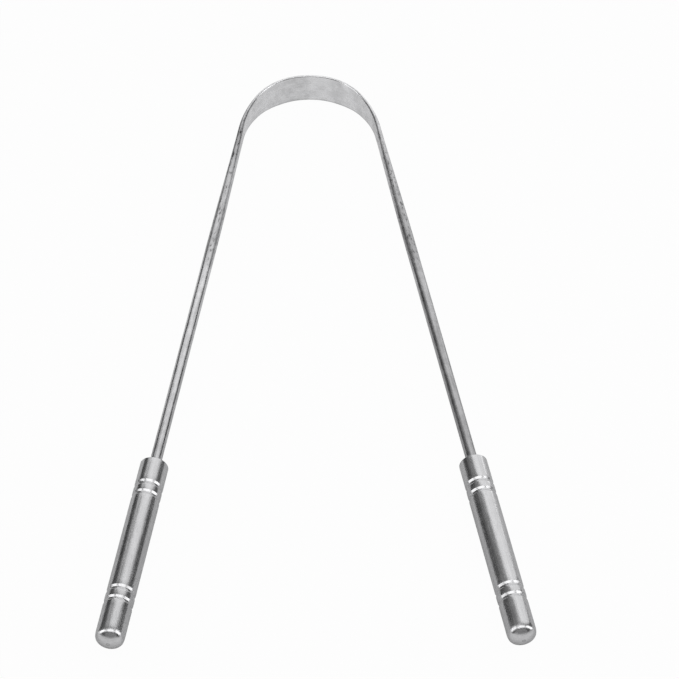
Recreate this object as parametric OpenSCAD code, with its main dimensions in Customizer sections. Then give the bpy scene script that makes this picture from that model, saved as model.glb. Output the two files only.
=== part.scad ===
// Tongue scraper: one round steel wire bent into a bow, its middle pressed flat into a
// blade that stands on its edge, and a turned steel handle on each end of the wire.
// The bow points along +Y, the arms lie level, and the blade's lower edge is at Z = 0.

/* [Wire] */
// Diameter of the round wire
wire_d = 2.25; // [2:0.05:2.75]
// Length of wire that sits inside each handle
insert_length = 12; // [8:0.5:16]
// Chamfer on the hidden end of the wire
wire_end_chamfer = 0.3; // [0.1:0.05:0.6]

/* [Blade] */
// Thickness of the blade, where the wire is pressed flat
blade_thickness = 0.58; // [0.5:0.01:0.9]
// Length of full blade round the tip of the nose
blade_length = 10.4; // [6:0.2:18]
// Length on each side over which the blade turns back into round wire
fade_length = 52.4; // [30:0.2:80]

/* [Bow] */
// Radius of the nose, on the middle line of the blade
nose_radius = 13.6; // [11:0.1:17]
// Angle that the nose turns on each side of its tip
nose_half_angle = 57; // [46:1:68]
// Radius of each shoulder, between the nose and an arm
shoulder_radius = 22.8; // [18:0.1:30]
// Angle of each arm to the middle line of the scraper
arm_angle = 9.5; // [5:0.25:13]
// Straight length of each arm, from shoulder to handle
arm_length = 95.8; // [85:0.2:120]

/* [Handles] */
// Diameter of each handle
handle_d = 5.5; // [5:0.25:8]
// Length of each handle, from its mouth to its domed tip
handle_length = 43.6; // [36:0.2:60]
// Chamfer round the mouth of the handle
mouth_chamfer = 0.4; // [0.2:0.05:0.8]
// Radius of the edge round the domed end
end_edge_radius = 1.3; // [0.6:0.1:1.4]
// Height of the domed end, from the straight side to the tip
end_rise = 1.8; // [1.5:0.1:2.2]
// Diameter of the centre mark left by turning, at the tip
centre_mark_d = 0.7; // [0.4:0.1:1.2]
// Depth of the centre mark
centre_mark_depth = 0.2; // [0.1:0.05:0.3]

/* [Grooves] */
// Width of each groove at the surface of the handle
groove_width = 1.2; // [0.8:0.1:1.4]
// Depth of each groove
groove_depth = 0.2; // [0.1:0.05:0.4]
// Distance between the two grooves of a pair
groove_pitch = 2.5; // [2:0.1:4]
// Distance from the mouth to the middle of the first groove
mouth_to_groove = 6.4; // [4:0.2:10]
// Distance from the domed tip to the middle of the last groove
tip_to_groove = 9; // [6:0.2:12]

/* [Socket] */
// Gap all round the wire in its socket, filled by the joint
socket_clearance = 0.03; // [0.01:0.01:0.05]
// Depth of the socket beyond the end of the wire
socket_end_gap = 0.5; // [0.2:0.1:1]
// Widening of the socket's mouth, on the radius
socket_lead_in = 0.25; // [0.1:0.05:0.4]
// Full angle of the drill point at the bottom of the socket
drill_point_angle = 118; // [90:1:140]

/* [Hidden] */
$fn = 96;

// How far a cut runs past the surface that it opens
overrun = 1;
// How far a fade runs into the blade at one end and into the round wire at the other
seam_overlap = 0.3;
// How far its surface lies inside those lengths, so that all fuse into one piece
seam_inset = 0.005;
// Points round each rounded edge of a fade's section, and sections along a fade
edge_points = 14;
fade_steps = 44;

// Pressing the wire flat keeps the area of its section
wire_area = PI * pow(wire_d / 2, 2);
blade_width = pressed_width(blade_thickness);
arm_z = blade_width / 2;

// Distances along the middle line of the bow, from the tip of the nose
fade_start = blade_length / 2;
fade_end = fade_start + fade_length;
nose_end = nose_radius * nose_half_angle * PI / 180;
bend_end = nose_end + shoulder_radius * (90 - nose_half_angle - arm_angle) * PI / 180;
wire_length = bend_end + arm_length + insert_length;

// Shape of the domed end of a handle
handle_r = handle_d / 2;
end_dome_radius = (pow(end_rise, 2) - pow(end_edge_radius, 2) + pow(handle_r - end_edge_radius, 2))
    / (2 * (end_rise - end_edge_radius));

// Bends of the bow, on its middle line, with the tip of the nose at [0, tip_y]
bow_depth = nose_radius * (1 - cos(nose_half_angle))
    + shoulder_radius * (cos(nose_half_angle) - sin(arm_angle));
reach_y = bow_depth + (arm_length + handle_length - end_dome_radius) * cos(arm_angle) + end_dome_radius;
tip_y = (reach_y - blade_thickness / 2) / 2;
nose_centre = [0, tip_y - nose_radius];
shoulder_centre = nose_centre
    + (nose_radius - shoulder_radius) * [sin(nose_half_angle), cos(nose_half_angle)];
arm_start = shoulder_centre + shoulder_radius * [cos(arm_angle), sin(arm_angle)];

// Width of the section when the wire is pressed to thickness t
function pressed_width(t) = t + (wire_area - PI * pow(t / 2, 2)) / t;

// Smooth step from 0 to 1 along a fade
function fade_share(s) = let (u = min(max((s - fade_start) / fade_length, 0), 1)) u * u * (3 - 2 * u);

// Thickness of the section at distance s from the tip
function fade_thickness(s) = blade_thickness + (wire_d - blade_thickness) * fade_share(s);

// Angle that the middle line has turned at distance s from the tip
function bow_turn(s) = s < nose_end ? s / nose_radius * 180 / PI
    : s < bend_end ? nose_half_angle + (s - nose_end) / shoulder_radius * 180 / PI
    : 90 - arm_angle;

// Direction out of the bow, square to a line that has turned by an angle
function outward(turn) = [sin(turn), cos(turn)];

// Place of the middle line at distance s from the tip, on the right side
function bow_place(s) = s < nose_end ? nose_centre + nose_radius * outward(bow_turn(s))
    : s < bend_end ? shoulder_centre + shoulder_radius * outward(bow_turn(s))
    : arm_start + (s - bend_end) * [sin(arm_angle), -cos(arm_angle)];

// Outline of the section at distance s: two rounded edges with a flat between them
function fade_ring(s) =
    let (t = fade_thickness(s), r = t / 2 - seam_inset, flat = pressed_width(t) - t)
    let (place = bow_place(s), out = outward(bow_turn(s)))
    [for (half = [1, -1], i = [0 : edge_points - 1])
        let (a = (i + 1 / 2) * 180 / edge_points + (half > 0 ? 0 : 180))
        let (at = place + r * cos(a) * out)
        [at[0], at[1], arm_z + half * flat / 2 + r * sin(a)]];

// Section of the blade, X across the metal and Y along its width
module blade_section() {
    flat = blade_width - blade_thickness;
    square([blade_thickness, flat], center = true);
    for (side = [-1, 1])
        translate([0, side * flat / 2])
            circle(d = blade_thickness);
}

// Full blade round the tip of the nose
module nose() {
    half_angle = bow_turn(fade_start);
    translate([nose_centre[0], nose_centre[1], arm_z])
        rotate([0, 0, 90 - half_angle])
            rotate_extrude(angle = 2 * half_angle)
                translate([nose_radius, 0])
                    blade_section();
}

// Right side of the bow, from flat blade round the shoulder to round wire on the arm
module fade() {
    stations = [fade_start - seam_overlap, fade_start + seam_overlap,
        for (k = [1 : fade_steps - 1]) fade_start + k * fade_length / fade_steps,
        fade_end - seam_overlap, fade_end + seam_overlap];
    ring_size = 2 * edge_points;
    last = len(stations) - 1;
    points = [for (s = stations) each fade_ring(s)];
    sides = [for (k = [0 : last - 1], i = [0 : ring_size - 1])
        let (a = k * ring_size + i, b = k * ring_size + (i + 1) % ring_size)
        each [[a, a + ring_size, b], [b, a + ring_size, b + ring_size]]];
    caps = [for (i = [1 : ring_size - 2])
        let (far = last * ring_size)
        each [[0, i, i + 1], [far, far + i + 1, far + i]]];
    polyhedron(points, concat(sides, caps), convexity = 4);
}

// Puts children on an arm: +Z runs from the shoulder to the handle, +Y stays up
module on_arm(side) {
    translate([side * arm_start[0], arm_start[1], arm_z])
        rotate([0, 0, side * arm_angle])
            rotate([90, 0, 0])
                children();
}

// Round wire from the end of the fade to the chamfered end in the socket
module round_wire() {
    wire_r = wire_d / 2;
    start = fade_end - bend_end;
    end = wire_length - bend_end;
    rotate_extrude()
        polygon([[0, start], [wire_r, start], [wire_r, end - wire_end_chamfer],
            [wire_r - wire_end_chamfer, end], [0, end]]);
}

// The one piece of wire: flat round the nose, round again along the two arms
module scraper_bow() {
    color("lightgray") {
        nose();
        fade();
        mirror([1, 0, 0])
            fade();
        for (side = [-1, 1])
            on_arm(side)
                round_wire();
    }
}

// Half outline of a handle, X from its axis and Y from its mouth
module handle_outline() {
    edge_y = handle_length - end_rise;
    dome_y = handle_length - end_dome_radius;
    edge_centre = [handle_r - end_edge_radius, edge_y];
    dome_edge = [0, dome_y] + (edge_centre - [0, dome_y]) * end_dome_radius
        / (end_dome_radius - end_edge_radius);
    polygon([[0, 0], [handle_r - mouth_chamfer, 0], [handle_r, mouth_chamfer], [handle_r, edge_y],
        [0, edge_y]]);
    intersection() {
        translate(edge_centre)
            circle(end_edge_radius);
        translate([0, edge_y])
            square([handle_d, handle_d]);
    }
    intersection() {
        translate([0, dome_y])
            circle(end_dome_radius);
        polygon([[0, edge_y], edge_centre, dome_edge, [dome_edge[0], handle_length + overrun],
            [0, handle_length + overrun]]);
    }
}

// Ring that cuts one groove round the handle
module groove(place) {
    groove_r = (pow(groove_width / 2, 2) + pow(groove_depth, 2)) / (2 * groove_depth);
    translate([0, 0, place])
        rotate_extrude()
            translate([handle_r - groove_depth + groove_r, 0])
                circle(groove_r);
}

// Drilled socket with a widened mouth and a drill point at its bottom
module socket() {
    socket_r = wire_d / 2 + socket_clearance;
    socket_depth = insert_length + socket_end_gap;
    point_height = socket_r / tan(drill_point_angle / 2);
    translate([0, 0, -overrun])
        cylinder(r = socket_r, h = socket_depth + overrun);
    translate([0, 0, socket_depth])
        cylinder(r1 = socket_r, r2 = 0, h = point_height);
    translate([0, 0, -overrun])
        cylinder(r1 = socket_r + socket_lead_in + overrun, r2 = socket_r, h = socket_lead_in + overrun);
}

// One turned handle, mouth at the origin and domed tip along +Z
module handle() {
    groove_places = [mouth_to_groove, mouth_to_groove + groove_pitch,
        handle_length - tip_to_groove - groove_pitch, handle_length - tip_to_groove];
    difference() {
        rotate_extrude()
            handle_outline();
        socket();
        for (place = groove_places)
            groove(place);
        translate([0, 0, handle_length - centre_mark_depth])
            cylinder(r1 = 0, r2 = centre_mark_d, h = 2 * centre_mark_depth);
    }
}

module left_handle() {
    color("silver")
        on_arm(-1)
            translate([0, 0, arm_length])
                handle();
}

module right_handle() {
    color("silver")
        on_arm(1)
            translate([0, 0, arm_length])
                handle();
}

scraper_bow();
left_handle();
right_handle();
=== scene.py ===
"""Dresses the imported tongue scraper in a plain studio: one pressed steel bow and two turned handles."""

import logging
import math
from dataclasses import dataclass
from enum import Enum

import bpy
from mathutils import Matrix, Vector


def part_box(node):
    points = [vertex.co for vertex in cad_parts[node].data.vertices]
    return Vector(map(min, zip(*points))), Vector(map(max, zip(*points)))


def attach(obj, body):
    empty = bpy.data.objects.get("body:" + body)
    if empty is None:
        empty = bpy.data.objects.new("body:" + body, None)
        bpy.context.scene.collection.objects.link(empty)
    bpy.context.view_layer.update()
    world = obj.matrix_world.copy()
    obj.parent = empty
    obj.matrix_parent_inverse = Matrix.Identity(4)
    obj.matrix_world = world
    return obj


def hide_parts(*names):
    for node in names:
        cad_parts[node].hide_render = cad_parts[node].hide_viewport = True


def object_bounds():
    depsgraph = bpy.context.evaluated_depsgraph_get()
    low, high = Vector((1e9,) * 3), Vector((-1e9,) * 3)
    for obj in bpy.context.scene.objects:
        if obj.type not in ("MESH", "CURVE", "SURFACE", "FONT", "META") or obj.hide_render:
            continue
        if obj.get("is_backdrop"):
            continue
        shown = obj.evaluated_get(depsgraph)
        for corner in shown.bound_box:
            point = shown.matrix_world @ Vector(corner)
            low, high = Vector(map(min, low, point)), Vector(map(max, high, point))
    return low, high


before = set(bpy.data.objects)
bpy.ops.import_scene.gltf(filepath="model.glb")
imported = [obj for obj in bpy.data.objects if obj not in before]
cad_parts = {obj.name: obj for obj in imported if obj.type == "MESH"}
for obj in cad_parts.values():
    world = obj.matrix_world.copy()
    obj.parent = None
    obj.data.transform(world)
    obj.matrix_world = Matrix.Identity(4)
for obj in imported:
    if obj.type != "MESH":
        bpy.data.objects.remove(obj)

MM = 0.001
ROOT_BODY = "root"
GRAIN_ATTRIBUTE = "grain"
# Per point: wear of the rubbed edges above 0, painted shade below 0 on the lower pressed edge and in the centre
# mark
WEAR_AND_SHADE_ATTRIBUTE = "wear_and_shade"
PRESSED_ATTRIBUTE = "pressed"

# Most values of a noise texture lie between these two
NOISE_LOW = 0.3
NOISE_HIGH = 0.7

WHITE = (1.0, 1.0, 1.0, 1.0)

Socket = bpy.types.NodeSocket

# The round wire, and how far each end of it goes into a handle
WIRE_RADIUS = 1.125 * MM
INSERT_LENGTH = 12 * MM

log = logging.getLogger("tongue_scraper")


class Side(Enum):
    """The two arms of the bow, by the sign of their X."""

    LEFT = -1
    RIGHT = 1


class LampShape(Enum):
    """Shape of a lamp's face, by the name of its setting."""

    ROUND = "ELLIPSE"
    SQUARE = "RECTANGLE"


class Marks(Enum):
    """How the last rub of a finish ran over the steel."""

    LENGTHWISE = "lengthwise"
    TURNED = "turned"


def smooth_step(value: float) -> float:
    """Smooth rise from 0 to 1 while value goes from 0 to 1, and level before and after."""
    held = min(max(value, 0.0), 1.0)
    return held * held * (3 - 2 * held)


def steps_between(start: float, end: float, step: float) -> list[float]:
    """Evenly spaced places from start up to, but not including, end, at most a step apart."""
    count = max(1, math.ceil((end - start) / step))
    return [start + (end - start) * k / count for k in range(count)]


def level_direction(turn: float) -> Vector:
    """Level direction at an angle from +X towards +Y."""
    return Vector((math.cos(turn), math.sin(turn), 0))


def put_in_scene(name: str, data: bpy.types.ID) -> bpy.types.Object:
    """Makes an object and links it to the scene.

    Args:
        name: Name of the object.
        data: Its mesh, lamp or lens.

    Returns:
        The new object.
    """
    made = bpy.data.objects.new(name, data)
    bpy.context.scene.collection.objects.link(made)
    return made


@dataclass(frozen=True)
class MeshPoint:
    """One point of a lofted or turned surface, with what its finish reads there.

    The grain holds the place across and along the steel, with the distance along it as Z. Wear and shade is
    above 0 where the steel is rubbed lighter, and below 0 where painted shade darkens it: on the lower pressed
    edge and in the centre mark.
    """

    place: Vector
    grain: Vector
    wear_and_shade: float
    pressed: float = 0.0


class RingSurface:
    """A closed surface made of rings of points, each end closed by a single point."""

    def __init__(self, name: str) -> None:
        """Starts an empty surface.

        Args:
            name: Name of the piece.
        """
        self.name = name
        self.points: list[MeshPoint] = []
        self.faces: list[tuple[int, ...]] = []
        self.last_ring: list[int] = []

    def add_pole(self, point: MeshPoint) -> None:
        """Adds an end point, and joins it to the ring before it if there is one.

        Args:
            point: The point at the end of the surface.
        """
        self.points.append(point)
        pole = len(self.points) - 1
        ring = self.last_ring
        for i, corner in enumerate(ring):
            self.faces.append((corner, ring[(i + 1) % len(ring)], pole))
        self.last_ring = [pole]

    def add_ring(self, ring: list[MeshPoint]) -> None:
        """Adds a ring and joins it to the pole or ring before it.

        Args:
            ring: Points of the ring, in the same turning sense each time.
        """
        first = len(self.points)
        self.points.extend(ring)
        new = list(range(first, first + len(ring)))
        old = self.last_ring
        for i, corner in enumerate(new):
            following = new[(i + 1) % len(new)]
            if len(old) == 1:
                self.faces.append((old[0], following, corner))
            elif old:
                self.faces.append((old[i], old[(i + 1) % len(old)], following, corner))
        self.last_ring = new

    def to_object(self) -> bpy.types.Object:
        """Makes the mesh object, smooth shaded, with its grain, wear-and-painted-shade and pressed attributes.

        Returns:
            The new object, linked to the scene.
        """
        mesh = bpy.data.meshes.new(self.name)
        mesh.from_pydata([p.place for p in self.points], [], self.faces)
        mesh.polygons.foreach_set("use_smooth", [True] * len(mesh.polygons))
        grain = mesh.attributes.new(GRAIN_ATTRIBUTE, "FLOAT_VECTOR", "POINT")
        grain.data.foreach_set("vector", [c for p in self.points for c in p.grain])
        wear_and_shade = mesh.attributes.new(WEAR_AND_SHADE_ATTRIBUTE, "FLOAT", "POINT")
        wear_and_shade.data.foreach_set("value", [p.wear_and_shade for p in self.points])
        pressed = mesh.attributes.new(PRESSED_ATTRIBUTE, "FLOAT", "POINT")
        pressed.data.foreach_set("value", [p.pressed for p in self.points])
        mesh.validate()
        mesh.update()
        return put_in_scene(self.name, mesh)


class NodeBench:
    """Short ways to add and join the nodes of one material or world."""

    def __init__(self, tree: bpy.types.NodeTree) -> None:
        """Takes over a node tree and clears it."""
        self.tree = tree
        tree.nodes.clear()

    def add(self, kind: str, **settings: object) -> bpy.types.Node:
        """Adds a node and sets its own properties.

        Args:
            kind: Name of the node type.
            **settings: Properties of the node, by name.

        Returns:
            The new node.
        """
        node = self.tree.nodes.new(kind)
        for key, value in settings.items():
            setattr(node, key, value)
        return node

    def feed(self, node: bpy.types.Node, socket: str | int, source: object) -> None:
        """Links an output to an input, or writes a constant there.

        Args:
            node: Node that receives.
            socket: Name or number of its input.
            source: An output socket, a number or a tuple.
        """
        if isinstance(source, Socket):
            self.tree.links.new(source, node.inputs[socket])
        else:
            node.inputs[socket].default_value = source

    def math(self, operation: str, a: object, b: object = 0.0, c: object = 0.0) -> Socket:
        """Adds a Math node.

        Args:
            operation: Name of the operation.
            a: First input.
            b: Second input.
            c: Third input, for the operations that have one.

        Returns:
            The node's output.
        """
        node = self.add("ShaderNodeMath", operation=operation)
        for socket, source in enumerate((a, b, c)):
            self.feed(node, socket, source)
        return node.outputs[0]

    def summed(self, start: object, *parts: tuple[Socket, float]) -> Socket:
        """Adds patterns to a starting value, each by its own strength.

        Args:
            start: Starting value.
            *parts: Patterns, each with its strength.

        Returns:
            The sum.
        """
        for pattern, strength in parts:
            start = self.math("MULTIPLY_ADD", pattern, strength, start)
        return start

    def scaled(self, vector: Socket, sizes: tuple[float, float, float]) -> Socket:
        """Divides a coordinate by the size of a pattern along each axis.

        Args:
            vector: Coordinate in metres.
            sizes: Size of the pattern along X, Y and Z, in metres.

        Returns:
            The coordinate in sizes of the pattern.
        """
        node = self.add("ShaderNodeVectorMath", operation="DIVIDE")
        self.feed(node, 0, vector)
        self.feed(node, 1, sizes)
        return node.outputs[0]

    def noise(self, vector: Socket, detail: float, roughness: float = 0.5) -> Socket:
        """Adds soft noise whose lumps are about one unit of the coordinate wide.

        Args:
            vector: Coordinate.
            detail: Number of finer layers.
            roughness: Strength of each finer layer.

        Returns:
            The noise, about 0.5 in the middle.
        """
        node = self.add("ShaderNodeTexNoise", noise_dimensions="3D")
        self.feed(node, "Vector", vector)
        self.feed(node, "Scale", 1.0)
        self.feed(node, "Detail", detail)
        self.feed(node, "Roughness", roughness)
        return node.outputs["Fac"]

    def pattern(self, vector: Socket, detail: float, roughness: float = 0.5) -> Socket:
        """Adds the same noise stretched to the whole range from 0 to 1, 0.5 on the average."""
        return self.spread(self.noise(vector, detail, roughness), NOISE_LOW, NOISE_HIGH)

    def line_noise(self, distance: Socket, size: float, detail: float) -> Socket:
        """Adds noise that changes along one distance only, stretched in the same way.

        Args:
            distance: Distance in metres.
            size: Width of its lumps, in metres.
            detail: Number of finer layers.

        Returns:
            The noise, 0.5 on the average.
        """
        node = self.add("ShaderNodeTexNoise", noise_dimensions="1D")
        self.feed(node, "W", self.math("DIVIDE", distance, size))
        self.feed(node, "Scale", 1.0)
        self.feed(node, "Detail", detail)
        return self.spread(node.outputs["Fac"], NOISE_LOW, NOISE_HIGH)

    def spread(self, source: Socket, low: float, high: float) -> Socket:
        """Stretches the part of a value between low and high over 0 to 1, smoothly.

        Args:
            source: Value to stretch.
            low: Value that becomes 0.
            high: Value that becomes 1.

        Returns:
            The stretched value.
        """
        node = self.add("ShaderNodeMapRange", interpolation_type="SMOOTHSTEP")
        self.feed(node, "Value", source)
        self.feed(node, "From Min", low)
        self.feed(node, "From Max", high)
        return node.outputs["Result"]


@dataclass(frozen=True)
class SteelPatterns:
    """What the colour, gloss and relief of one steel material share."""

    along: Socket
    wear_and_shade: Socket
    shoulder_shade: Socket
    pressed: Socket
    scuffed: Socket
    streaks: Socket
    bands: Socket
    lumps: Socket
    clouds: Socket
    zones: Socket
    stains: Socket
    specks: Socket
    dulling: Socket


@dataclass(frozen=True)
class SteelFinish:
    """Bare stainless steel with a satin rub: its tone, its streaks, its clouds and its marks.

    Each tone is how much lighter or darker a pattern makes the steel. Places along the wire count from the tip
    of the nose and are positive on the right arm: painted shade dims the highlight on the upper edge of the left
    shoulder, and the dulling grows along the right arm.
    """

    name: str
    colour: tuple[float, float, float]
    roughness: float
    marks: Marks
    layer_strength: float = 0.6
    streak_width: float = 0.10 * MM
    streak_length: float = 6 * MM
    streak_layers: float = 3.0
    streak_roughness: float = 0.08
    streak_tone: float = 0.05
    streak_height: float = 0.0006 * MM
    band_width: float = 0.45 * MM
    band_length: float = 8 * MM
    band_layers: float = 2.0
    band_tone: float = 0.12
    band_calm: float = 0.85
    lump_width: float = 0.8 * MM
    lump_length: float = 2.6 * MM
    lump_layers: float = 1.0
    lump_height: float = 0.008 * MM
    cloud_size: float = 2.2 * MM
    cloud_layers: float = 4.0
    cloud_tone: float = 0.11
    cloud_roughness: float = 0.06
    zone_length: float = 6 * MM
    zone_layers: float = 1.0
    zone_tone: float = 0.09
    stain_width: float = 0.32 * MM
    stain_length: float = 1.1 * MM
    stain_layers: float = 3.0
    stain_share: float = 0.455
    stain_edge: float = 0.12
    stain_tone: float = 0.6
    stain_depth: float = 0.003 * MM
    stain_elsewhere: float = 0.15
    scuff_start: float = 16 * MM
    scuff_end: float = 58 * MM
    scuff_blend: float = 10 * MM
    scuff_tone: float = 0.13
    scuff_roughness: float = 0.12
    speck_size: float = 0.35 * MM
    speck_layers: float = 2.0
    speck_share: float = 0.32
    speck_edge: float = 0.1
    speck_tone: float = 0.42
    speck_depth: float = 0.003 * MM
    ring_pitch: float = 0.12 * MM
    ring_layers: float = 2.0
    ring_height: float = 0.0005 * MM
    # Lightens the rubbed edges, and darkens as painted shade where the wear and shade attribute is below 0
    wear_and_shade_tone: float = 0.12
    wear_roughness: float = 0.03
    press_tone: float = 0.12
    # Painted shade that dims the highlight on the upper edge of the left shoulder: its rise with the edge,
    # place, reach and tone
    shoulder_shade_rise: float = 0.5
    shoulder_shade_place: float = -24 * MM
    shoulder_shade_reach: float = 14 * MM
    shoulder_shade_tone: float = 0.0
    dull_reach: float = 100 * MM
    dull_tone: float = 0.0
    dull_roughness: float = 0.0

    def material(self) -> bpy.types.Material:
        """Builds the material's nodes.

        Returns:
            The new material.
        """
        made = bpy.data.materials.new(self.name)
        made.use_nodes = True
        bench = NodeBench(made.node_tree)
        patterns = self.patterns(bench)
        surface = bench.add("ShaderNodeBsdfPrincipled")
        bench.feed(surface, "Metallic", 1.0)
        bench.feed(surface, "Base Color", self.tone(bench, patterns))
        bench.feed(surface, "Roughness", self.gloss(bench, patterns))
        bench.feed(surface, "Normal", self.relief(bench, patterns))
        out = bench.add("ShaderNodeOutputMaterial")
        bench.feed(out, "Surface", surface.outputs["BSDF"])
        return made

    def patterns(self, bench: NodeBench) -> SteelPatterns:
        """Reads the mesh's attributes and makes the patterns of the steel.

        Args:
            bench: Bench of the material.

        Returns:
            The attributes and patterns.
        """
        grain = bench.add("ShaderNodeAttribute", attribute_name=GRAIN_ATTRIBUTE).outputs["Vector"]
        pressed = bench.add("ShaderNodeAttribute", attribute_name=PRESSED_ATTRIBUTE).outputs["Fac"]
        place = bench.add("ShaderNodeTexCoord").outputs["Object"]
        split = bench.add("ShaderNodeSeparateXYZ")
        bench.feed(split, 0, grain)
        along = split.outputs["Z"]
        scuffed = self.scuffed(bench, along)
        wear_and_shade = bench.add("ShaderNodeAttribute", attribute_name=WEAR_AND_SHADE_ATTRIBUTE).outputs["Fac"]
        # Mask of the painted shade on the upper edge of the left shoulder
        off_shoulder_shade = bench.math("ABSOLUTE", bench.math("SUBTRACT", along, self.shoulder_shade_place))
        on_edge = bench.spread(wear_and_shade, 0.0, self.shoulder_shade_rise)

        def lengthwise(width: float, length: float) -> Socket:
            """Coordinate for a pattern drawn out along the steel."""
            return bench.scaled(grain, (width, width, length))

        def even(size: float) -> Socket:
            """Coordinate for a pattern that is the same size in every direction."""
            return bench.scaled(place, (size, size, size))

        return SteelPatterns(
            along=along,
            wear_and_shade=wear_and_shade,
            shoulder_shade=bench.math("MULTIPLY", on_edge, bench.spread(off_shoulder_shade, self.shoulder_shade_reach, 0.0)),
            pressed=pressed,
            scuffed=scuffed,
            streaks=bench.pattern(
                lengthwise(self.streak_width, self.streak_length), self.streak_layers, self.layer_strength
            ),
            bands=bench.pattern(lengthwise(self.band_width, self.band_length), self.band_layers),
            lumps=bench.pattern(lengthwise(self.lump_width, self.lump_length), self.lump_layers),
            clouds=bench.pattern(even(self.cloud_size), self.cloud_layers, self.layer_strength),
            zones=bench.line_noise(along, self.zone_length, self.zone_layers),
            stains=self.stains(bench, lengthwise(self.stain_width, self.stain_length), scuffed),
            specks=self.specks(bench, even(self.speck_size)),
            dulling=bench.spread(along, 0.0, self.dull_reach),
        )

    def scuffed(self, bench: NodeBench, along: Socket) -> Socket:
        """Where the wire was held while it was pressed and bent: on the shoulders and upper arms.

        Args:
            bench: Bench of the material.
            along: Distance along the wire, in metres.

        Returns:
            A value that is 1 on the scuffed lengths and 0 elsewhere.
        """
        distance = bench.math("ABSOLUTE", along)
        inside = bench.spread(distance, self.scuff_start, self.scuff_start + self.scuff_blend)
        beyond = bench.spread(distance, self.scuff_end, self.scuff_end + self.scuff_blend)
        return bench.math("SUBTRACT", inside, beyond)

    def stains(self, bench: NodeBench, coordinate: Socket, scuffed: Socket) -> Socket:
        """Dark smears, thickest on the scuffed lengths.

        Args:
            bench: Bench of the material.
            coordinate: Coordinate in sizes of a smear.
            scuffed: Share by which the steel is scuffed.

        Returns:
            A value that is up to 1 in a smear and 0 between them.
        """
        lumps = bench.noise(coordinate, self.stain_layers, self.layer_strength)
        smears = bench.spread(lumps, self.stain_share, self.stain_share - self.stain_edge)
        share = bench.math("MULTIPLY_ADD", scuffed, 1 - self.stain_elsewhere, self.stain_elsewhere)
        return bench.math("MULTIPLY", smears, share)

    def specks(self, bench: NodeBench, coordinate: Socket) -> Socket:
        """Small dark pits, the same all over the steel: up to 1 in a pit and 0 between them."""
        lumps = bench.noise(coordinate, self.speck_layers)
        return bench.spread(lumps, self.speck_share, self.speck_share - self.speck_edge)

    def tone(self, bench: NodeBench, patterns: SteelPatterns) -> Socket:
        """Colour of the steel, lighter and darker along its bands and in its clouds.

        Args:
            bench: Bench of the material.
            patterns: The material's patterns.

        Returns:
            The colour.
        """

        def swing(pattern: Socket, tone: float) -> Socket:
            """A pattern turned into a change of tone, as much lighter as darker."""
            return bench.math("MULTIPLY_ADD", pattern, 2 * tone, -tone)

        on_wire = bench.math("MULTIPLY_ADD", patterns.pressed, -self.band_calm, 1.0)
        strength = bench.math("MULTIPLY_ADD", swing(patterns.bands, self.band_tone), on_wire, 1.0)
        strength = bench.math("ADD", strength, swing(patterns.streaks, self.streak_tone))
        strength = bench.math("ADD", strength, swing(patterns.clouds, self.cloud_tone))
        strength = bench.math("MULTIPLY_ADD", swing(patterns.zones, self.zone_tone), patterns.pressed, strength)
        strength = bench.summed(
            strength,
            # Rubbed edges lighter, and painted shade darker on the lower pressed edge and in the centre mark
            (patterns.wear_and_shade, self.wear_and_shade_tone),
            (patterns.scuffed, -self.scuff_tone),
            (patterns.stains, -self.stain_tone),
            (patterns.specks, -self.speck_tone),
            (patterns.pressed, self.press_tone),
            # Painted shade on the upper edge of the left shoulder
            (patterns.shoulder_shade, -self.shoulder_shade_tone),
        )
        dulled = bench.math("MULTIPLY_ADD", patterns.dulling, -self.dull_tone, 1.0)
        strength = bench.math("MULTIPLY", strength, dulled)
        node = bench.add("ShaderNodeVectorMath", operation="SCALE")
        bench.feed(node, 0, self.colour)
        bench.feed(node, "Scale", strength)
        return node.outputs[0]

    def gloss(self, bench: NodeBench, patterns: SteelPatterns) -> Socket:
        """Roughness of the steel.

        Args:
            bench: Bench of the material.
            patterns: The material's patterns.

        Returns:
            The roughness.
        """
        return bench.summed(
            self.roughness - self.streak_roughness / 2 - self.cloud_roughness / 2,
            (patterns.streaks, self.streak_roughness),
            (patterns.clouds, self.cloud_roughness),
            (patterns.stains, self.cloud_roughness),
            (patterns.scuffed, self.scuff_roughness),
            (patterns.dulling, self.dull_roughness),
            (patterns.wear_and_shade, self.wear_roughness),
        )

    def relief(self, bench: NodeBench, patterns: SteelPatterns) -> Socket:
        """Fine height of the streaks, lumps, stains, pits and turning marks.

        Args:
            bench: Bench of the material.
            patterns: The material's patterns.

        Returns:
            The normal.
        """
        height = bench.summed(
            0.0,
            (patterns.streaks, self.streak_height),
            (patterns.lumps, self.lump_height),
            (patterns.stains, -self.stain_depth),
            (patterns.specks, -self.speck_depth),
        )
        if self.marks is Marks.TURNED:
            rings = bench.line_noise(patterns.along, self.ring_pitch, self.ring_layers)
            height = bench.summed(height, (rings, self.ring_height))
        bump = bench.add("ShaderNodeBump")
        bench.feed(bump, "Strength", 1.0)
        bench.feed(bump, "Distance", 1.0)
        bench.feed(bump, "Height", height)
        return bump.outputs["Normal"]


WIRE_STEEL = SteelFinish(
    name="rubbed_wire_steel",
    colour=(0.66, 0.66, 0.67),
    roughness=0.25,
    marks=Marks.LENGTHWISE,
    # Painted shade on the upper edge of the left shoulder
    shoulder_shade_tone=0.45,
    dull_tone=0.3,
    dull_roughness=0.08,
)

BAR_STEEL = SteelFinish(
    name="turned_bar_steel",
    colour=(0.68, 0.68, 0.69),
    roughness=0.24,
    marks=Marks.TURNED,
    band_tone=0.04,
    lump_height=0.002 * MM,
    cloud_tone=0.03,
    cloud_roughness=0.03,
    stain_tone=0.05,
    scuff_tone=0.0,
    scuff_roughness=0.0,
    speck_tone=0.1,
    speck_depth=0.001 * MM,
)


@dataclass(frozen=True)
class Station:
    """One cross-section of the bow, at a distance along its middle line from the nose."""

    centre: Vector
    outward: Vector
    along: float
    pressed: float


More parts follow.
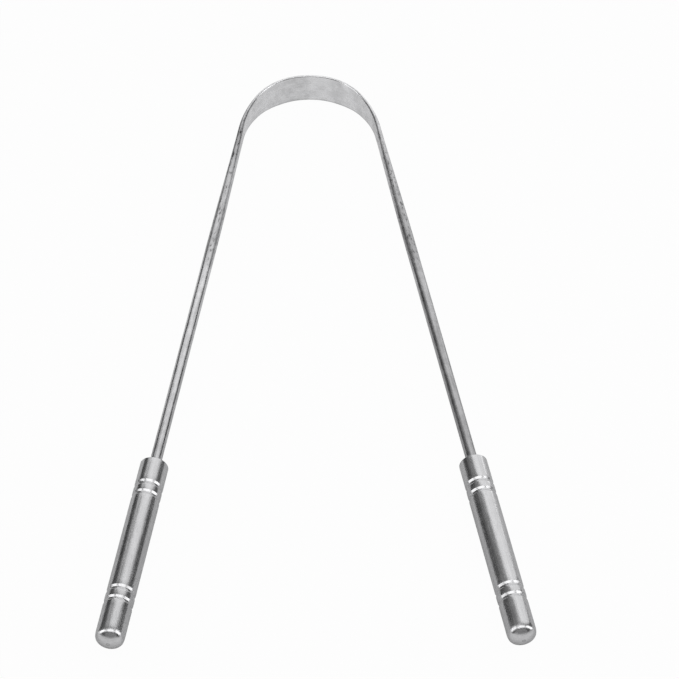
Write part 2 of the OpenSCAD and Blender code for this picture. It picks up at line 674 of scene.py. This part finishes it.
@dataclass(frozen=True)
class ScraperBow:
    """The wire: pressed flat round the nose and shoulders, round again down both arms.

    A pressed edge is worn lighter from wear_and_shade_reach before its round. The lower one instead takes
    lower_edge_shade times as much as painted shade, which darkens it. Each edge draws in by a slow and a fast
    ripple, whose lengths stand in fast_ratio.
    """

    tip: Vector
    wire_radius: float = WIRE_RADIUS
    insert_length: float = INSERT_LENGTH
    end_chamfer: float = 0.3 * MM
    blade_thickness: float = 0.58 * MM
    blade_length: float = 10.4 * MM
    fade_length: float = 52.4 * MM
    nose_radius: float = 13.6 * MM
    nose_half_angle: float = math.radians(57)
    shoulder_radius: float = 22.8 * MM
    arm_angle: float = math.radians(9.5)
    arm_length: float = 95.8 * MM
    # Painted shade on the lower pressed edge, as a multiple of the upper edge's wear
    lower_edge_shade: float = -3.0
    wear_and_shade_reach: float = 0.35 * MM
    ripple_depth: float = 0.035 * MM
    ripple_length: float = 7.3 * MM
    ripple_phase: float = 1.7
    slow_part: float = 0.33
    fast_part: float = 0.17
    fast_ratio: float = 0.37
    fast_phase: float = 2.1
    bend_step: float = 0.3 * MM
    arm_step: float = 0.6 * MM
    flat_steps: int = 6
    round_steps: int = 10

    @property
    def nose_length(self) -> float:
        """Half length of the nose along its middle line."""
        return self.nose_radius * self.nose_half_angle

    @property
    def bend_length(self) -> float:
        """Length from the nose's tip to the start of an arm."""
        turn = math.pi / 2 - self.nose_half_angle - self.arm_angle
        return self.nose_length + self.shoulder_radius * turn

    @property
    def nose_centre(self) -> Vector:
        """Centre of the nose's bend."""
        return self.tip - Vector((0, self.nose_radius, 0))

    @property
    def shoulder_centre(self) -> Vector:
        """Centre of the right shoulder's bend.

        Returns:
            The centre, which lies to the left of the bow's middle line.
        """
        back = self.nose_radius - self.shoulder_radius
        away = Vector((math.sin(self.nose_half_angle), math.cos(self.nose_half_angle), 0))
        return self.nose_centre + back * away

    def arm_line(self, side: Side) -> tuple[Vector, Vector]:
        """Where an arm starts and which way it runs.

        Args:
            side: Arm to describe.

        Returns:
            Start of the arm's middle line, and its direction towards the handle.
        """
        start = self.shoulder_centre + self.shoulder_radius * level_direction(self.arm_angle)
        run = Vector((math.sin(self.arm_angle), -math.cos(self.arm_angle), 0))
        flip = Matrix.Diagonal((side.value, 1, 1))
        return flip @ start, flip @ run

    def station(self, along: float) -> Station:
        """Cross-section at a signed distance from the tip of the nose, positive to the right.

        Args:
            along: Distance along the middle line.

        Returns:
            The station there.
        """
        distance = abs(along)
        if distance <= self.nose_length:
            outward = level_direction(math.pi / 2 - distance / self.nose_radius)
            centre = self.nose_centre + self.nose_radius * outward
        elif distance <= self.bend_length:
            bent = (distance - self.nose_length) / self.shoulder_radius
            outward = level_direction(math.pi / 2 - self.nose_half_angle - bent)
            centre = self.shoulder_centre + self.shoulder_radius * outward
        else:
            outward = level_direction(self.arm_angle)
            start, run = self.arm_line(Side.RIGHT)
            centre = start + (distance - self.bend_length) * run
        flip = Matrix.Diagonal((1 if along >= 0 else -1, 1, 1))
        pressed = 1 - smooth_step((distance - self.blade_length / 2) / self.fade_length)
        return Station(flip @ centre, flip @ outward, along, pressed)

    def thickness(self, pressed: float) -> float:
        """Thickness of the metal where it is pressed by this share."""
        return 2 * self.wire_radius + (self.blade_thickness - 2 * self.wire_radius) * pressed

    def width(self, thickness: float) -> float:
        """Width of the section at a thickness, since pressing keeps the section's area."""
        rest = math.pi * (self.wire_radius**2 - (thickness / 2) ** 2)
        return thickness + rest / thickness

    def ripple(self, along: float, phase: float) -> float:
        """How far the pressed edge draws in at a place.

        Args:
            along: Distance along the middle line.
            phase: Shift of the ripple, so that the two edges differ.

        Returns:
            A distance from 0 to the ripple's depth.
        """
        slow = math.sin(2 * math.pi * along / self.ripple_length + phase)
        fast = math.sin(2 * math.pi * along / (self.fast_ratio * self.ripple_length) + self.fast_phase * phase)
        return self.ripple_depth * (0.5 + self.slow_part * slow + self.fast_part * fast)

    def rippled(self, flat: float, station: Station, phase: float) -> float:
        """Height of the flat at a station once the ripple has drawn in its edge."""
        return max(flat - 2 * station.pressed * self.ripple(station.along, phase), 0.0)

    def quarter(self, thickness: float, flat: float, pressed: float) -> list[tuple[float, float, float]]:
        """One quarter of the section, from the middle of its flat to the top of its edge.

        Args:
            thickness: Thickness of the metal.
            flat: Height of the flat between the rounded edges.
            pressed: Share by which the metal is pressed.

        Returns:
            Points across and up the section, each with its share of the edge, for wear and painted shade.
        """
        radius = thickness / 2
        steps = self.flat_steps + self.round_steps
        arc = radius * math.pi / 2
        found = []
        for k in range(steps + 1):
            on_flat = (1 - max(1 - k / self.flat_steps, 0) ** 2) * flat / 2
            on_arc = max(k - self.flat_steps, 0) / self.round_steps * arc
            run = pressed * (on_flat + on_arc) + (1 - pressed) * k / steps * (flat / 2 + arc)
            turn = max(run - flat / 2, 0) / radius
            up = min(run, flat / 2) + radius * math.sin(turn)
            edge_share = smooth_step((run - flat / 2 + self.wear_and_shade_reach) / (self.wear_and_shade_reach + arc / 2))
            found.append((radius * math.cos(turn), up, pressed * edge_share))
        return found

    def ring(self, station: Station, shrink: float = 0.0) -> list[MeshPoint]:
        """Points round the metal at a station.

        Args:
            station: Where the section lies.
            shrink: How far the section is drawn in all round, for a chamfered end.

        Returns:
            The ring, in order from the outer side over the top.
        """
        thickness = self.thickness(station.pressed) - 2 * shrink
        flat = self.width(thickness) - thickness if station.pressed > 0 else 0.0
        above, below = (
            self.quarter(thickness, self.rippled(flat, station, phase), station.pressed)
            for phase in (self.ripple_phase, -self.ripple_phase)
        )
        outline = (
            above
            + [(-a, b, w) for a, b, w in reversed(above[:-1])]
            # Lower half: painted shade on the lower edge
            + [(-a, -b, self.lower_edge_shade * w) for a, b, w in below[1:]]
            + [(a, -b, self.lower_edge_shade * w) for a, b, w in reversed(below[1:-1])]
        )
        return [
            MeshPoint(
                station.centre + a * station.outward + Vector((0, 0, b)),
                Vector((a, b, station.along)),
                w,
                station.pressed,
            )
            for a, b, w in outline
        ]

    def places(self) -> list[float]:
        """Distances along the middle line at which the bow has a section.

        Returns:
            The signed distances, left end first.
        """
        arm_end = self.bend_length + self.arm_length + self.insert_length
        half = steps_between(0, self.bend_length, self.bend_step)
        half += steps_between(self.bend_length, arm_end - self.end_chamfer, self.arm_step)
        half.append(arm_end - self.end_chamfer)
        return [-d for d in reversed(half[1:])] + half

    def build(self) -> bpy.types.Object:
        """Builds the bow's mesh.

        Returns:
            The bow, in its place.
        """
        surface = RingSurface("bow")
        places = self.places()
        end = places[-1] + self.end_chamfer
        self.close_end(surface, -end, opening=True)
        for place in places:
            surface.add_ring(self.ring(self.station(place)))
        self.close_end(surface, end, opening=False)
        return surface.to_object()

    def close_end(self, surface: RingSurface, along: float, opening: bool) -> None:
        """Adds the chamfered end of the wire.

        Args:
            surface: Surface of the bow.
            along: Distance of the end.
            opening: True at the end where the surface starts.
        """
        station = self.station(along)
        pole = MeshPoint(station.centre, Vector((0, 0, along)), 0.0)
        ring = self.ring(station, self.end_chamfer)
        if opening:
            surface.add_pole(pole)
            surface.add_ring(ring)
        else:
            surface.add_ring(ring)
            surface.add_pole(pole)


@dataclass(frozen=True)
class Corner:
    """A point of a turned outline: its radius, and its distance from the mouth."""

    radius: float
    along: float


@dataclass(frozen=True)
class Handle:
    """One turned handle: drilled mouth, two pairs of grooves and a domed end.

    The centre mark's recess is darkened by mark_shade as painted shade, out to mark_reach times its radius.
    Every sharp corner is broken by edge_break, and takes no more than break_share of the shorter run beside it.
    A corner that is nearer the axis than axis_reach lies on it.
    """

    side: Side
    mouth: Vector
    axis: Vector
    wire_radius: float = WIRE_RADIUS
    insert_length: float = INSERT_LENGTH
    radius: float = 2.75 * MM
    length: float = 43.6 * MM
    mouth_chamfer: float = 0.4 * MM
    easing_radius: float = 4 * MM
    easing_turn: float = math.radians(12)
    edge_radius: float = 1.25 * MM
    end_rise: float = 1.75 * MM
    mark_radius: float = 0.35 * MM
    mark_depth: float = 0.2 * MM
    mark_reach: float = 1.02
    # Painted shade in the centre mark's recess
    mark_shade: float = -3.5
    groove_width: float = 1.2 * MM
    groove_depth: float = 0.2 * MM
    groove_wall: float = 0.45 * MM
    groove_pitch: float = 2.5 * MM
    mouth_to_groove: float = 6.4 * MM
    tip_to_groove: float = 9 * MM
    socket_clearance: float = 0.03 * MM
    socket_end_gap: float = 0.5 * MM
    socket_lead_in: float = 0.25 * MM
    drill_half_angle: float = math.radians(59)
    edge_break: float = 0.06 * MM
    break_share: float = 0.45
    axis_reach: float = 0.006 * MM
    corner_turn: float = math.radians(14)
    arc_step: float = math.radians(4)
    run_step: float = 1.2 * MM
    round_points: int = 128

    @property
    def edge_reach(self) -> float:
        """Distance from the axis to the middle of the rounded edge."""
        return self.radius - self.easing_radius + self.easing_step.radius

    @property
    def easing_step(self) -> Corner:
        """Way from the middle of the easing arc to the middle of the rounded edge."""
        span = self.easing_radius - self.edge_radius
        return Corner(span * math.cos(self.easing_turn), span * math.sin(self.easing_turn))

    @property
    def dome_radius(self) -> float:
        """Radius of the domed end, which meets the rounded edge without a corner."""
        squares = self.end_rise**2 - self.edge_radius**2 + self.edge_reach**2
        return squares / (2 * (self.end_rise - self.edge_radius))

    def groove_places(self) -> list[float]:
        """Finds where the four grooves lie.

        Returns:
            Distances of the grooves' middles from the mouth.
        """
        last = self.length - self.tip_to_groove
        first = self.mouth_to_groove
        return [first, first + self.groove_pitch, last - self.groove_pitch, last]

    def arc(self, centre: Corner, radius: float, start: float, end: float) -> list[Corner]:
        """Points along an arc of the outline.

        Args:
            centre: Centre of the arc.
            radius: Its radius.
            start: Angle of its first point, from the radius towards the tip.
            end: Angle of its last point.

        Returns:
            The points, both ends included.
        """
        count = max(2, math.ceil(abs(end - start) / self.arc_step))
        turns = [start + (end - start) * k / count for k in range(count + 1)]
        return [Corner(centre.radius + radius * math.cos(t), centre.along + radius * math.sin(t)) for t in turns]

    def socket(self) -> list[Corner]:
        """Outline of the drilled socket.

        Returns:
            Its corners, from the drill point out to the mouth.
        """
        bore = self.wire_radius + self.socket_clearance
        depth = self.insert_length + self.socket_end_gap
        return [
            Corner(0.0, depth + bore / math.tan(self.drill_half_angle)),
            Corner(bore, depth),
            Corner(bore, self.socket_lead_in),
            Corner(bore + self.socket_lead_in, 0.0),
        ]

    def groove(self, place: float) -> list[Corner]:
        """Outline of one groove: two flat walls with a flat bottom between them.

        Args:
            place: Distance of the groove's middle from the mouth.

        Returns:
            Its corners, from its mouth side to its tip side.
        """
        start, end = place - self.groove_width / 2, place + self.groove_width / 2
        floor = self.radius - self.groove_depth
        return [
            Corner(self.radius, start),
            Corner(floor, start + self.groove_wall),
            Corner(floor, end - self.groove_wall),
            Corner(self.radius, end),
        ]

    def domed_end(self) -> list[Corner]:
        """Outline of the end: an easing arc, the rounded edge, the dome and the centre mark.

        Returns:
            Its corners, from the straight side to the bottom of the mark.
        """
        edge_centre = Corner(self.edge_reach, self.length - self.end_rise)
        easing_centre = Corner(self.radius - self.easing_radius, edge_centre.along - self.easing_step.along)
        dome_centre = Corner(0.0, self.length - self.dome_radius)
        meeting = math.atan2(edge_centre.along - dome_centre.along, edge_centre.radius)
        mark = math.acos(self.mark_radius / self.dome_radius)
        easing = self.arc(easing_centre, self.easing_radius, 0.0, self.easing_turn)
        edge = self.arc(edge_centre, self.edge_radius, self.easing_turn, meeting)
        dome = self.arc(dome_centre, self.dome_radius, meeting, mark)
        return easing + edge[1:] + dome[1:] + [Corner(0.0, self.length - self.mark_depth)]

    def outline(self) -> list[Corner]:
        """The whole turned outline.

        Returns:
            Its corners, from the socket's drill point round to the centre mark.
        """
        corners = self.socket()
        corners.append(Corner(self.radius - self.mouth_chamfer, 0.0))
        corners.append(Corner(self.radius, self.mouth_chamfer))
        for place in self.groove_places():
            corners += self.groove(place)
        return self.softened(corners + self.domed_end())

    def softened(self, corners: list[Corner]) -> list[Corner]:
        """Breaks every sharp corner of an outline with a small round, and divides its long runs.

        Args:
            corners: The sharp outline.

        Returns:
            The outline with its corners broken.
        """
        points = [Vector((c.radius, c.along)) for c in corners]
        soft = [points[0]]
        for before, here, after in zip(points, points[1:], points[2:]):
            into, away = here - before, after - here
            turn = into.angle(away)
            if turn < self.corner_turn:
                soft.append(here)
                continue
            room = self.break_share * min(into.length, away.length)
            reach = min(self.edge_break * math.tan(turn / 2), room)
            start, end = here - reach * into.normalized(), here + reach * away.normalized()
            count = max(2, math.ceil(turn / (2 * self.arc_step)))
            for k in range(count + 1):
                t = k / count
                soft.append((1 - t) ** 2 * start + 2 * t * (1 - t) * here + t**2 * end)
        soft.append(points[-1])
        divided = []
        for start, end in zip(soft, soft[1:]):
            shares = steps_between(0.0, 1.0, self.run_step / max((end - start).length, self.run_step))
            divided += [start.lerp(end, share) for share in shares]
        divided.append(soft[-1])
        return [Corner(p.x, p.y) for p in divided]

    def build(self) -> bpy.types.Object:
        """Turns the outline round the handle's axis.

        Returns:
            The handle, in its place.
        """
        surface = RingSurface(f"{self.side.name.lower()}_grip")
        across = Vector((0, 0, 1)).cross(self.axis)
        travelled = 0.0
        outline = self.outline()
        previous = outline[0]
        for corner in outline:
            travelled += math.hypot(corner.radius - previous.radius, corner.along - previous.along)
            previous = corner
            centre = self.mouth + corner.along * self.axis
            if corner.radius < self.axis_reach:
                surface.add_pole(MeshPoint(centre, Vector((0, 0, travelled)), 0.0))
                continue
            # Painted shade in the centre mark's recess, through the wear and shade attribute
            in_mark = corner.along > self.length / 2 and corner.radius < self.mark_reach * self.mark_radius
            wear_and_shade = self.mark_shade if in_mark else 0.0
            ring = []
            for k in range(self.round_points):
                turn = 2 * math.pi * k / self.round_points
                a, b = corner.radius * math.cos(turn), corner.radius * math.sin(turn)
                place = centre + a * across + Vector((0, 0, b))
                ring.append(MeshPoint(place, Vector((a, b, travelled)), wear_and_shade))
            surface.add_ring(ring)
        return surface.to_object()


@dataclass(frozen=True)
class SoftBox:
    """One studio lamp with an even face, placed by where it stands as seen from the scraper.

    Azimuth runs from the nose's direction towards the right handle and elevation up from the floor, both in
    degrees. Brightness is that of the lamp's face, where 1 is white.
    """

    name: str
    azimuth: float
    elevation: float
    distance: float
    width: float
    height: float
    brightness: float
    shape: LampShape = LampShape.SQUARE

    def build(self, aim: Vector) -> bpy.types.Object:
        """Hangs the lamp and points it at the scraper.

        Args:
            aim: Point that the lamp faces.

        Returns:
            The lamp.
        """
        lamp = bpy.data.lights.new(self.name, "AREA")
        lamp.shape = self.shape.value
        lamp.size, lamp.size_y = self.width, self.height
        face = self.width * self.height * (math.pi / 4 if self.shape is LampShape.ROUND else 1)
        lamp.energy = self.brightness * math.pi * face
        made = put_in_scene(self.name, lamp)
        turn, rise = math.radians(self.azimuth), math.radians(self.elevation)
        level = math.cos(rise)
        away = Vector((math.sin(turn) * level, math.cos(turn) * level, math.sin(rise)))
        made.location = aim + self.distance * away
        made.rotation_euler = away.to_track_quat("Z", "Y").to_euler()
        made.visible_camera = False
        return made


@dataclass(frozen=True)
class Studio:
    """Pale floor, room and soft boxes round the scraper.

    The floor that the steel mirrors grows paler away from the camera, from sweep_start to sweep_end. It grows
    paler towards the camera too, from front_start to front_end, under the handles' domed ends and before them.
    """

    floor_height: float
    floor_size: float = 8.0
    floor_colour: float = 0.62
    floor_white: float = 0.97
    mirrored_near: float = 0.06
    mirrored_far: float = 0.54
    mirrored_front: float = 0.4
    sweep_start: float = -50 * MM
    sweep_end: float = 70 * MM
    front_start: float = -75 * MM
    front_end: float = -82 * MM
    room_low: float = 0.045
    room_high: float = 0.26
    ceiling_start: float = 0.3
    ceiling_end: float = 1.0
    boxes: tuple[SoftBox, ...] = (
        SoftBox(
            "back_lamp",
            azimuth=15,
            elevation=27.5,
            distance=1.0,
            width=1.32,
            height=1.32,
            brightness=0.85,
            shape=LampShape.ROUND,
        ),
        SoftBox("back_fill", azimuth=-27, elevation=30, distance=1.0, width=0.28, height=0.36, brightness=0.65),
        SoftBox("low_kicker", azimuth=41, elevation=7, distance=1.0, width=0.26, height=0.24, brightness=0.6),
        SoftBox("left_box", azimuth=-100, elevation=29, distance=0.5, width=0.28, height=0.45, brightness=1.5),
        SoftBox("right_box", azimuth=100, elevation=29, distance=0.5, width=0.28, height=0.45, brightness=1.7),
        SoftBox("top_box", azimuth=180, elevation=81, distance=0.6, width=0.60, height=0.38, brightness=1.3),
        SoftBox("front_fill", azimuth=180, elevation=20, distance=1.0, width=1.5, height=0.7, brightness=0.2),
    )

    def build(self) -> None:
        """Builds the floor, the room and the lamps."""
        self.build_floor()
        self.build_room()
        for box in self.boxes:
            box.build(Vector((0, 0, self.floor_height)))

    def build_floor(self) -> None:
        """Lays the pale floor: white to the camera, with the scraper's shadow, and a sweep in reflections."""
        half = self.floor_size / 2
        corners = [(x * half, y * half, self.floor_height) for x, y in ((-1, -1), (1, -1), (1, 1), (-1, 1))]
        mesh = bpy.data.meshes.new("floor")
        mesh.from_pydata(corners, [], [(0, 1, 2, 3)])
        floor = put_in_scene("floor", mesh)
        floor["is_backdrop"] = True
        made = bpy.data.materials.new("pale_floor")
        made.use_nodes = True
        bench = NodeBench(made.node_tree)
        matt = bench.add("ShaderNodeBsdfDiffuse")
        bench.feed(matt, "Color", (self.floor_colour,) * 3 + (1.0,))
        glow = bench.add("ShaderNodeEmission")
        bench.feed(glow, "Color", WHITE)
        ray = bench.add("ShaderNodeLightPath")
        mirrored = bench.math("ADD", ray.outputs["Is Glossy Ray"], ray.outputs["Is Transmission Ray"])
        place = bench.add("ShaderNodeSeparateXYZ")
        bench.feed(place, 0, bench.add("ShaderNodeNewGeometry").outputs["Position"])
        sweep = bench.spread(place.outputs["Y"], self.sweep_start, self.sweep_end)
        sweep = bench.math("MULTIPLY_ADD", sweep, self.mirrored_far - self.mirrored_near, self.mirrored_near)
        front = bench.spread(place.outputs["Y"], self.front_start, self.front_end)
        sweep = bench.math("MULTIPLY_ADD", front, self.mirrored_front, sweep)
        share = bench.math("MULTIPLY", mirrored, sweep)
        share = bench.math("MULTIPLY_ADD", ray.outputs["Is Camera Ray"], self.floor_white, share)
        mix = bench.add("ShaderNodeMixShader")
        bench.feed(mix, 0, share)
        bench.feed(mix, 1, matt.outputs[0])
        bench.feed(mix, 2, glow.outputs[0])
        out = bench.add("ShaderNodeOutputMaterial")
        bench.feed(out, "Surface", mix.outputs[0])
        mesh.materials.append(made)

    def build_room(self) -> None:
        """Makes the room round the set: dark low down, paler towards the ceiling."""
        room = bpy.data.worlds.new("room")
        bpy.context.scene.world = room
        room.use_nodes = True
        bench = NodeBench(room.node_tree)
        direction = bench.add("ShaderNodeTexCoord").outputs["Generated"]
        split = bench.add("ShaderNodeSeparateXYZ")
        bench.feed(split, 0, direction)
        rise = bench.spread(split.outputs["Z"], self.ceiling_start, self.ceiling_end)
        strength = bench.math("MULTIPLY_ADD", rise, self.room_high - self.room_low, self.room_low)
        light = bench.add("ShaderNodeBackground")
        bench.feed(light, "Color", WHITE)
        bench.feed(light, "Strength", strength)
        out = bench.add("ShaderNodeOutputWorld")
        bench.feed(out, "Surface", light.outputs[0])


@dataclass(frozen=True)
class PhotoCamera:
    """The camera at the photograph's viewing angle."""

    aim_height: float
    aim_x: float = 5.46 * MM
    aim_y: float = -0.37 * MM
    distance: float = 553.75 * MM
    elevation: float = math.radians(46.46)
    yaw: float = math.radians(-1.28)
    roll: float = math.radians(0.5)
    focal_length: float = 146.4
    sensor: float = 36.0

    def build(self) -> bpy.types.Object:
        """Places the camera and makes it the scene's camera.

        Returns:
            The camera.
        """
        lens = bpy.data.cameras.new("photo_camera")
        lens.lens, lens.sensor_width = self.focal_length, self.sensor
        made = put_in_scene("photo_camera", lens)
        level = math.cos(self.elevation)
        back = Vector((math.sin(self.yaw) * level, -math.cos(self.yaw) * level, math.sin(self.elevation)))
        right = (-back).cross(Vector((0, 0, 1))).normalized()
        up = right.cross(-back)
        turned_right = right * math.cos(self.roll) + up * math.sin(self.roll)
        turned_up = up * math.cos(self.roll) - right * math.sin(self.roll)
        turn = Matrix((turned_right, turned_up, back)).transposed()
        aim = Vector((self.aim_x, self.aim_y, self.aim_height))
        made.matrix_world = Matrix.Translation(aim + self.distance * back) @ turn.to_4x4()
        bpy.context.scene.camera = made
        return made


def dress(piece: bpy.types.Object, finish: bpy.types.Material, node: str) -> None:
    """Gives a piece its finish, and lets it stand for its solid.

    Args:
        piece: The new piece.
        finish: Its material.
        node: The node that it stands for.
    """
    piece.data.materials.append(finish)
    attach(piece, ROOT_BODY)
    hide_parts(node)
    log.info("%s: %d faces, stands for %s", piece.name, len(piece.data.polygons), node)


def main() -> None:
    """Builds the camera, the studio and the pieces of the scraper."""
    logging.basicConfig(level=logging.INFO, format="%(name)s: %(message)s")
    solid_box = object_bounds()
    low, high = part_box("scraper_bow")
    middle_height = (low.z + high.z) / 2

    PhotoCamera(aim_height=middle_height).build()
    bpy.context.scene.view_settings.view_transform = "Standard"
    Studio(floor_height=solid_box[0].z).build()

    rubbed, turned = WIRE_STEEL.material(), BAR_STEEL.material()
    half_blade = ScraperBow.blade_thickness / 2
    bow = ScraperBow(Vector((0, high.y - half_blade, middle_height)))
    dress(bow.build(), rubbed, "scraper_bow")
    for side in Side:
        start, run = bow.arm_line(side)
        handle = Handle(side, start + bow.arm_length * run, run)
        dress(handle.build(), turned, f"{side.name.lower()}_handle")


if __name__ == "__main__":
    main()
